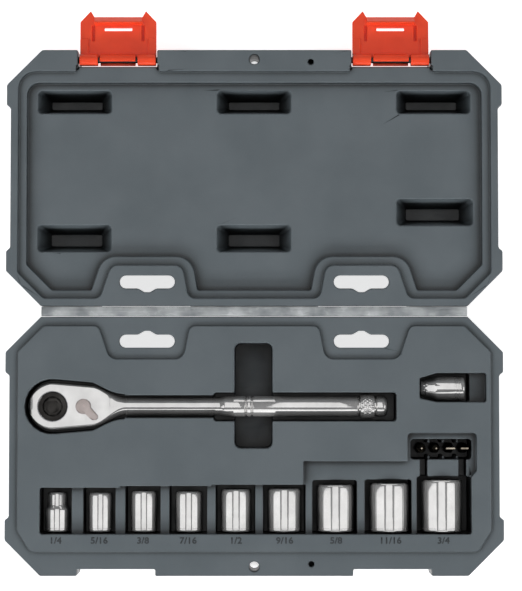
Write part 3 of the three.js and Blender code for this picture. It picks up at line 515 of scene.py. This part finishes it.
# The drive end's outside, as (place from the end, how far inside the outer radius), in mm: a
# rounded edge and the ring groove.
SOCKET_BACK = (
    (0, 1.1), (0.12, 0.72), (0.42, 0.3), (0.9, 0.04), (1.2, 0), (1.85, 0),
    (2.0, 0.32), (2.3, 0.32), (2.45, 0),
)


def socket_look(node):
    """A socket as one closed skin: along the outside, in by the hexagon and out by the square."""
    low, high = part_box(node)
    radius = (high.x - low.x) / 2 / MM
    length = (high.y - low.y) / MM
    first, second = node.split("_")[1:]
    flats = INCH * int(first) / int(second)
    origin = Vector(((low.x + high.x) / 2, low.y, (low.z + high.z) / 2))
    end = REDUCED_RADIUS if node == "socket_1_4" else radius
    steps = [(place, round_at(radius - inset)) for place, inset in SOCKET_BACK]
    if end < radius:
        steps += [
            (REDUCED_FROM - 1, round_at(radius)), (REDUCED_FROM - 0.2, round_at(radius - 0.15)),
            (REDUCED_FROM + 1.4, round_at(end + 0.2)), (REDUCED_FROM + 2.2, round_at(end)),
        ]
    wall = polygon_at(flats + HEX_PLAY, 6, corner=HEX_CORNER)
    mouth = min(end - 0.5, (flats + HEX_PLAY) / 2 / math.cos(math.pi / 6) + 0.35)
    steps += [
        (length - 1.7, round_at(end)), (length - 0.9, round_at(end - 0.2)),
        (length - 0.3, round_at(end - 0.6)), (length, round_at(max(mouth, end - 1.0))),
        (length, round_at(mouth)), (length - 0.5, wall), (HEX_START, wall),
    ]
    through = round_at(min(flats, SQUARE) / 2 - 0.5)
    hole = polygon_at(SQUARE, 4, math.pi / 4, SQUARE_CORNER)
    steps += [
        (HEX_START, through), (SQUARE_DEPTH, through), (SQUARE_DEPTH, hole), (0.5, hole),
        (0, round_at(min(SQUARE * 0.62, radius - 1.2))),
    ]
    bm = loft(bmesh.new(), bore_sections(steps, origin, Y, X, Z), closed=True)
    add_piece(node + "_look", bm, MATERIALS["chrome"], node)


for socket in SOCKETS:
    socket_look(socket)


# ---- size labels on the tray below the sockets ----

LABEL_SIZE = 0.0042 * 1.35        # type size that gives figures 4.2 mm high
LABEL_STRETCH = 1.1
LABEL_DROP = 0.0052               # from the sockets' drive ends to the middle of the labels
LABEL_HALF_THICK = 0.00006
LABEL_LIFT = 0.00004              # middle of the labels' thickness above the tray


def size_label(node):
    """A plain size fraction, as flat figures a tenth of a millimetre proud of the tray."""
    first, second = node.split("_")[1:]
    low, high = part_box(node)
    text = bpy.data.curves.new("label_" + node, "FONT")
    text.body = f"{first}/{second}"
    text.size = LABEL_SIZE
    text.align_x = "CENTER"
    text.align_y = "CENTER"
    text.extrude = LABEL_HALF_THICK
    text.resolution_u = 3
    holder = bpy.data.objects.new("label_" + node, text)
    scene.collection.objects.link(holder)
    bpy.context.view_layer.update()
    shape = holder.evaluated_get(bpy.context.evaluated_depsgraph_get())
    mesh = bpy.data.meshes.new_from_object(shape)
    bpy.data.objects.remove(holder)
    bm = bmesh.new()
    bm.from_mesh(mesh)
    bpy.data.meshes.remove(mesh)
    bmesh.ops.remove_doubles(bm, verts=bm.verts, dist=0.000001)
    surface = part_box("base_tray")[1].z
    place = ((low.x + high.x) / 2, low.y - LABEL_DROP, surface + LABEL_LIFT)
    bm.transform(Matrix.Translation(place) @ Matrix.Diagonal((LABEL_STRETCH, 1, 1, 1)))
    add_piece("label_" + node, bm, LABEL_INK, body="base", crease=0)


for socket in SOCKETS:
    size_label(socket)


# ---- ratchet ----

gear_low, gear_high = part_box("drive_gear")
body_low, body_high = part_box("ratchet_body")
RATCHET = Vector((
    (gear_low.x + gear_high.x) / 2, (gear_low.y + gear_high.y) / 2,
    (body_low.z + body_high.z) / 2))
# In mm, with places along the handle measured from the gear's axis.
HEAD_RADIUS, HEAD_HALF = 15.3, 6.4
CHEEK_X, CHEEK = 25.7, 13.1       # where the head starts to narrow, and half its width there
FLAT_END = 36                     # where the head's flat top steps down
FLAT_STEP = 0.25
NECK_X, SHANK = 46.7, 5.65        # where the neck has become the round shank, and its radius
HEAD_CORNER = 2.0                 # radius of the head's long edges
NOSE, NOSE_DROP = 1.6, 1.6        # length and depth of the rounding at the head's round end
GRIP_START, GRIP = 110.0, 6.6
GRIP_GROOVES = (13.6, 17.5)       # from the grip's start
NECKED = 0.9                      # how far the handle is cut in on both sides of the ring
RING_START, RING_END, RING = 197.2, 205.8, 7.9
END = 214.5
KNURL_STEPS = 22
KNURLS, KNURL_TWIST = 24, 3       # diamonds round the ring, and how many each line passes
KNURL_DEPTH = 0.42
HANDLE_SIDES = 144


def ease(low, high, value):
    """0 at low and 1 at high, with a smooth run between."""
    t = min(max((value - low) / (high - low), 0), 1)
    return t * t * (3 - 2 * t)


def mix(a, b, t):
    return a + (b - a) * t


def head_half_width(x):
    """Half the head's width at a place along the handle."""
    if x < 0:
        return math.sqrt(max(HEAD_RADIUS ** 2 - x ** 2, 0.04))
    taper = mix(HEAD_RADIUS, CHEEK, min(x / CHEEK_X, 1))
    return mix(taper, SHANK, ease(CHEEK_X - 1, NECK_X, x))


def rounded_section(half_width, half_height, corner, count=64):
    """A rounded rectangle in the plane across the handle, as (y, z) pairs."""
    corner = min(corner, half_width, half_height)
    points = []
    for i in range(count):
        angle = TAU * (i + 0.5) / count
        c, s = math.cos(angle), math.sin(angle)
        points.append((
            math.copysign(half_width - corner, c) + corner * c,
            math.copysign(half_height - corner, s) + corner * s))
    return points


def ratchet_head():
    """The forged head, from its round end to the neck."""
    places = [-HEAD_RADIUS * math.cos(math.pi * i / 72) for i in range(1, 37)]
    places += [x * 0.8 for x in range(1, 60)]
    places = [x for x in places if x <= NECK_X]
    sections = []
    for x in places:
        half_width = head_half_width(x)
        slope = ease(FLAT_END - 1, NECK_X, x)
        step = FLAT_STEP if x > FLAT_END else 0.0
        half_height = mix(HEAD_HALF, SHANK, slope) - step * (1 - slope)
        corner = mix(HEAD_CORNER, SHANK, ease(CHEEK_X, NECK_X, x))
        near_end = 1 - ease(-HEAD_RADIUS, -HEAD_RADIUS + NOSE, x)
        half_height -= near_end * NOSE_DROP
        sections.append([
            RATCHET + Vector((x, y, z)) * MM
            for y, z in rounded_section(half_width, half_height, corner)])
    return loft(bmesh.new(), sections)


def drilled(bm, radius, low, high):
    """Cut a round recess about the gear's axis out of the mesh, from low to high, in mm."""
    shape = bpy.data.meshes.new("uncut")
    bmesh.ops.recalc_face_normals(bm, faces=bm.faces)
    bm.to_mesh(shape)
    bm.free()
    body = bpy.data.objects.new("uncut", shape)
    drill_mesh = bpy.data.meshes.new("drill")
    steps = [(low, round_at(radius)), (high, round_at(radius))]
    tool = loft(bmesh.new(), bore_sections(steps, RATCHET, Z, X, Y))
    bmesh.ops.recalc_face_normals(tool, faces=tool.faces)
    tool.to_mesh(drill_mesh)
    tool.free()
    drill = bpy.data.objects.new("drill", drill_mesh)
    for piece in (body, drill):
        scene.collection.objects.link(piece)
    cutter = body.modifiers.new("cut", "BOOLEAN")
    cutter.operation = "DIFFERENCE"
    cutter.solver = "EXACT"
    cutter.object = drill
    bpy.context.view_layer.update()
    cut = body.evaluated_get(bpy.context.evaluated_depsgraph_get())
    whole = bpy.data.meshes.new_from_object(cut)
    for piece in (body, drill):
        bpy.data.objects.remove(piece)
    out = bmesh.new()
    out.from_mesh(whole)
    bpy.data.meshes.remove(whole)
    return out


def v_groove(x, radius, depth=0.9, width=1.8):
    """The (place, radius) pairs of a groove round the handle."""
    return [
        (x - width / 2, radius), (x - width / 2 + 0.1, radius - 0.05), (x, radius - depth),
        (x + width / 2 - 0.1, radius - 0.05), (x + width / 2, radius)]


def knurled_ring():
    """Sections of the ring with its raised diamonds, as (place, radius) pairs."""
    sections = []
    for i in range(KNURL_STEPS + 1):
        t = i / KNURL_STEPS
        x = mix(RING_START, RING_END, t)
        crown = min(1, 4 * t, 4 * (1 - t))
        ring = []
        for k in range(HANDLE_SIDES):
            a = k / HANDLE_SIDES
            one = abs(((a * KNURLS + t * KNURL_TWIST) % 1) * 2 - 1)
            two = abs(((a * KNURLS - t * KNURL_TWIST) % 1) * 2 - 1)
            ring.append((x, mix(RING - 0.6, RING - KNURL_DEPTH * max(one, two) ** 2, crown)))
        sections.append(ring)
    return sections


def ratchet_handle(bm):
    """The round shank, the grip with its grooves, the knurled ring and the end cap."""
    front = [
        (NECK_X - 6, 1.5), (NECK_X - 6, SHANK - 0.5), (NECK_X, SHANK),
        (GRIP_START - 4, SHANK), (GRIP_START - 2, SHANK + 0.15),
        (GRIP_START - 0.3, GRIP - 0.1), (GRIP_START + 0.4, GRIP),
    ]
    for place in GRIP_GROOVES:
        front += v_groove(GRIP_START + place, GRIP)
    front += [
        (RING_START - 2.2, GRIP), (RING_START - 1.9, GRIP - 0.1),
        (RING_START - 1.1, GRIP - NECKED), (RING_START - 0.3, GRIP - NECKED),
    ]
    cap = [
        (RING_END + 0.3, GRIP - NECKED), (RING_END + 1.0, GRIP - NECKED),
        (RING_END + 1.7, GRIP - 0.1), (RING_END + 2.0, GRIP), (END - 2.6, GRIP),
        (END - 1.5, GRIP - 0.4), (END - 0.6, GRIP - 1.2), (END - 0.1, GRIP - 2.4),
        (END, GRIP - 3.6), (END, 0.4),
    ]
    sections = [[pair] * HANDLE_SIDES for pair in front]
    sections += knurled_ring()
    sections += [[pair] * HANDLE_SIDES for pair in cap]
    turns = [TAU * k / HANDLE_SIDES for k in range(HANDLE_SIDES)]
    placed = [
        [
            RATCHET + Vector((x, r * math.cos(turn), r * math.sin(turn))) * MM
            for (x, r), turn in zip(section, turns)]
        for section in sections]
    return loft(bm, placed)


head = ratchet_head()
for radius, bottom, top in (
    (9.9, -2.9, 9.0),             # the recess round the gear
    (10.9, 4.4, 5.6),             # the retaining ring's groove
    (8.4, -9.0, 0.0),             # the hole that the drive square comes out of
):
    head = drilled(head, radius, bottom, top)
ratchet_handle(head)
add_piece("ratchet_body_look", head, MATERIALS["chrome"], "ratchet_body")

rounded_copy("drive_gear", 0.00018, 2, 50.0)
rounded_copy("retaining_ring", 0.00012, 2, 50.0)


def button_look():
    """The quick-release button: an eight-sided crown with a dished middle and a long pin."""
    crown = polygon_at(11.9, 8, math.pi / 8, 0.1)
    inner = polygon_at(10.4, 8, math.pi / 8, 0.1)
    pin, waist = round_at(1.9), round_at(1.1)
    steps = [
        (-12.6, round_at(0.4)), (-12.6, round_at(1.8)), (-12.2, pin), (-10.2, waist),
        (-7.7, waist), (-6.8, pin), (4.3, pin), (4.3, crown), (5.9, crown), (6.5, inner),
        (6.58, round_at(4.4)), (6.3, round_at(3.9)), (6.1, round_at(2.2)), (6.05, round_at(0.3)),
    ]
    bm = loft(bmesh.new(), bore_sections(steps, RATCHET, Z, X, Y))
    add_piece("quick_release_button_look", bm, MATERIALS["dark_steel"], "quick_release_button")


SPRING_WIRE = 0.0004              # radius of the wire
SPRING_TURNS = 3
SPRING_STEPS, WIRE_SIDES = 48, 12    # steps in a turn, and sides of the wire


def spring_look():
    """The button's spring as a coil of wire at rest; the real one closes up as the button goes
    down.
    """
    low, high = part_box("button_spring")
    middle = (low + high) / 2
    wire = SPRING_WIRE
    radius = (high.x - low.x) / 2 - wire
    rise = high.z - low.z - 2 * wire
    steps = SPRING_TURNS * SPRING_STEPS
    sections = []
    for step in range(steps + 1):
        turn = TAU * step / SPRING_STEPS
        out = Vector((math.cos(turn), math.sin(turn), 0))
        height = low.z + wire + rise * step / steps
        centre = Vector((middle.x, middle.y, height)) + out * radius
        angles = [TAU * k / WIRE_SIDES for k in range(WIRE_SIDES)]
        sections.append([centre + wire * (math.cos(a) * out + math.sin(a) * Z) for a in angles])
    bm = loft(bmesh.new(), sections)
    bmesh.ops.recalc_face_normals(bm, faces=bm.faces)
    spring = new_object("button_spring_look", bm, MATERIALS["spring_steel"])
    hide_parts("button_spring")
    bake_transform(spring)


button_look()
spring_look()
lever = rounded_copy("reversing_lever", 0.0005, 3, 40.0)
lever.data.materials[0] = LEVER_METAL


# ---- bit holder and bits ----

# In mm, with places along the holder measured from its hexagon end.
HOLDER_BODY = 7.8                 # outer radius
HOLDER_CORNER = 0.45              # how far the six-sided nose's corners are cut back
HOLDER_GROOVES = (22.4, 24.6)
HOLDER_GROOVE_DEPTH = 0.35
HOLDER_SQUARE_END = 17.3          # inner end of the drive square
HOLDER_HEX_END = 12.0             # inner end of the hexagon
MAGNET_BORE = 3.1
BIT_TIP_FROM = 0.0195             # above here a bit is bare metal, from its lower end, in metres
BIT_SIDES = 72
PHILLIPS_RADIUS = {2: 3.0, 1: 2.4}


def holder_look():
    """The bit holder as one closed skin, in by its square and out by its hexagon."""
    low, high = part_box("bit_holder")
    origin = Vector((low.x, (low.y + high.y) / 2, (low.z + high.z) / 2))
    length = (high.x - low.x) / MM
    body, groove = round_at(HOLDER_BODY), round_at(HOLDER_BODY - HOLDER_GROOVE_DEPTH)
    bore = round_at(MAGNET_BORE)
    hexagon = polygon_at(6.45, 6, corner=0.1)
    hole = polygon_at(SQUARE, 4, math.pi / 4, SQUARE_CORNER)
    steps = [
        (0, round_at(4.7)), (0.15, round_at(5.0)), (0.6, round_at(5.3)), (3.0, round_at(5.5)),
        (3.4, polygon_at(11.4, 6, corner=HOLDER_CORNER)),
        (8.8, polygon_at(13.4, 6, corner=HOLDER_CORNER)), (10.4, body),
    ]
    for place in HOLDER_GROOVES:
        steps += [
            (place - 0.4, body), (place - 0.3, groove),
            (place + 0.3, groove), (place + 0.4, body),
        ]
    steps += [
        (length - 1.2, body), (length - 0.5, round_at(HOLDER_BODY - 0.25)),
        (length, round_at(HOLDER_BODY - 0.9)), (length, round_at(6.1)),
        (length - 0.5, hole), (HOLDER_SQUARE_END, hole),
        (HOLDER_SQUARE_END, bore), (HOLDER_HEX_END, bore),
        (HOLDER_HEX_END, hexagon), (0.4, hexagon), (0, round_at(3.8)),
    ]
    bm = loft(bmesh.new(), bore_sections(steps, origin, X, Y, Z), closed=True)
    add_piece("bit_holder_look", bm, MATERIALS["chrome"], "bit_holder")


holder_look()


def flute(radius, deep):
    """A four-winged point's outline: full radius on the wings, cut back between them."""
    def at(angle):
        away = abs((angle % (math.pi / 2)) - math.pi / 4) / (math.pi / 4)
        return mix(radius * deep, radius, ease(0.35, 0.95, away))
    return at


def blade(half, thick):
    """A flat blade's outline, from half its width and half its thickness."""
    def at(angle):
        c, s = abs(math.cos(angle)), abs(math.sin(angle))
        return min(half / max(c, 1e-6), thick / max(s, 1e-6))
    return at


def bit_look(node):
    """A bit standing on its hexagon, dark but for its tip."""
    low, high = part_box(node)
    centre = Vector(((low.x + high.x) / 2, (low.y + high.y) / 2, low.z))
    hexagon = polygon_at(6.35, 6, corner=0.08)
    size = int(node[-1])
    steps = [
        (0, round_at(2.7)), (0.5, polygon_at(6.3, 6, corner=0.4)), (1.0, hexagon), (11.2, hexagon),
        (12.0, round_at(2.9)), (12.6, round_at(2.6)), (16.0, round_at(2.6)),
    ]
    if node.startswith("bit_phillips"):
        tip = PHILLIPS_RADIUS[size]
        steps += [
            (17.0, round_at(tip)), (19.0, round_at(tip)), (19.6, flute(tip, 0.85)),
            (21.5, flute(tip * 0.82, 0.45)), (24.4, flute(tip * 0.36, 0.45)), (25.0, round_at(0.5)),
        ]
    else:
        tip = size / 2
        steps += [
            (17.5, blade(tip, 1.3)), (20.5, blade(tip, 0.75)), (24.8, blade(tip, 0.55)),
            (25.0, blade(tip - 0.1, 0.45)),
        ]
    bm = loft(bmesh.new(), bore_sections(steps, centre, Z, X, Y, BIT_SIDES))
    piece = add_piece(node + "_look", bm, MATERIALS["dark_steel"], node)
    piece.data.materials.append(BIT_TIP)
    for face in piece.data.polygons:
        if face.center.z > low.z + BIT_TIP_FROM:
            face.material_index = 1


for bit in ("bit_phillips_2", "bit_phillips_1", "bit_slotted_6", "bit_slotted_5"):
    bit_look(bit)


# ---- floor, lights and camera ----

FLOOR_HALF = 6.0
FLOOR_TOP = -0.0004               # just below the case, so that the two don't flicker


def floor():
    """A wide sheet of pale paper."""
    bm = bmesh.new()
    corners = [(-1, -1), (1, -1), (1, 1), (-1, 1)]
    bm.faces.new([bm.verts.new((x * FLOOR_HALF, y * FLOOR_HALF, FLOOR_TOP)) for x, y in corners])
    finish = Finish("paper").set(Specular_IOR_Level=0.2)
    finish.feed(finish.ramp(finish.noise(3, 3), 0.86, 0.9), "Base Color")
    finish.feed(finish.ramp(finish.noise(30, 3), 0.6, 0.7), "Roughness")
    finish.set(Emission_Color=(1, 1, 1, 1), Emission_Strength=0.74)
    finish.bump((finish.noise(400, 2), 0.00002))
    new_object("floor", bm, finish.material, smooth=False)


def softbox(name, place, aim, size, glow, shines=True, mirrored=True):
    """A rectangular light of even glow, pointed at aim.

    One that doesn't shine is seen only in reflections, and one that isn't mirrored is not
    seen in them.
    """
    light = bpy.data.lights.new(name, "AREA")
    light.shape = "RECTANGLE"
    light.size, light.size_y = size
    light.energy = glow * math.pi * size[0] * size[1]
    holder = bpy.data.objects.new(name, light)
    scene.collection.objects.link(holder)
    holder.location = place
    holder.rotation_euler = (Vector(aim) - Vector(place)).to_track_quat("-Z", "Y").to_euler()
    holder.visible_diffuse = shines
    holder.visible_glossy = mirrored


floor()
CENTRE = (0, 0, 0)
softbox("front_low", (0.0, -1.7, 0.75), CENTRE, (2.6, 0.45), 8.5, mirrored=False)
softbox("left", (-1.7, 0.2, 1.1), CENTRE, (2.2, 1.0), 3.2, mirrored=False)
softbox("right", (1.7, 0.2, 1.1), CENTRE, (2.2, 1.0), 2.8, mirrored=False)
softbox("roof_back", (0.0, 1.0, 2.3), (0, 1, 0), (1.5, 2.3), 0.8, shines=False)
softbox("roof_middle", (0.0, -0.35, 2.3), (0, -0.35, 0), (1.66, 0.4), 0.85, shines=False)
softbox("roof_left", (-1.9, -0.3, 1.45), CENTRE, (1.2, 2.2), 0.9, shines=False)
softbox("roof_right", (1.9, -0.3, 1.45), CENTRE, (1.2, 2.2), 0.9, shines=False)
softbox("back_low", (0.0, 2.1, 0.9), CENTRE, (3.4, 1.0), 0.75, shines=False)
softbox("roof_front", (0.0, -1.85, 1.3), CENTRE, (2.4, 1.5), 1.1, shines=False)

world = bpy.data.worlds.new("studio")
scene.world = world
world.use_nodes = True
backdrop = world.node_tree.nodes["Background"]
backdrop.inputs["Color"].default_value = (0.95, 0.97, 1, 1)
backdrop.inputs["Strength"].default_value = 0.12

CAMERA_DISTANCE = 1.291
CAMERA_ELEVATION = 87.4           # degrees above the floor, from the front
CAMERA_TARGET = Vector((0.0043, -0.0031, 0.030))
FOCAL_LENGTH, SENSOR_WIDTH = 123, 36    # mm
lens = bpy.data.cameras.new("camera")
lens.lens = FOCAL_LENGTH
lens.sensor_width = SENSOR_WIDTH
lens.sensor_fit = "AUTO"
camera = bpy.data.objects.new("camera", lens)
scene.collection.objects.link(camera)
scene.camera = camera
tilt = math.radians(CAMERA_ELEVATION)
camera.location = CAMERA_TARGET + CAMERA_DISTANCE * Vector((0, -math.cos(tilt), math.sin(tilt)))
camera.rotation_euler = (CAMERA_TARGET - camera.location).to_track_quat("-Z", "Y").to_euler()
scene.view_settings.view_transform = "Standard"
